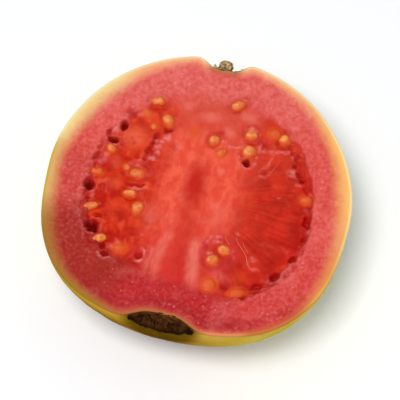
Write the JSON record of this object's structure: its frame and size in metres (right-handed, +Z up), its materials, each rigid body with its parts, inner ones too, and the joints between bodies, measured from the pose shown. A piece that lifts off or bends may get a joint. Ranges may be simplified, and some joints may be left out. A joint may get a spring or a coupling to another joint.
{
  "type": "guava half",
  "caption": "Half of a ripe pink guava lying on its skin, with its cut face up, loose seeds and empty seed sockets in the pulp, a stem stub and a dried calyx.",
  "frame": {"origin": "on the surface that the half lies on, under the middle of its box", "axes": "+Z up, square to the cut face; +Y towards the stem; +X to the right of the cut face"},
  "size_m": [0.0812, 0.0782, 0.0405],
  "materials": {
    "flesh": "moist pink flesh and glossy red pulp",
    "skin": "smooth waxy yellow skin with small dark pores",
    "seed": "hard wet seeds",
    "stem": "dry rough bark",
    "calyx": "dry and brittle"
  },
  "bodies": {
    "root": {"fruit_half": "flesh", "stem_stub": "stem", "calyx": "calyx"}
  },
  "joints": []
}
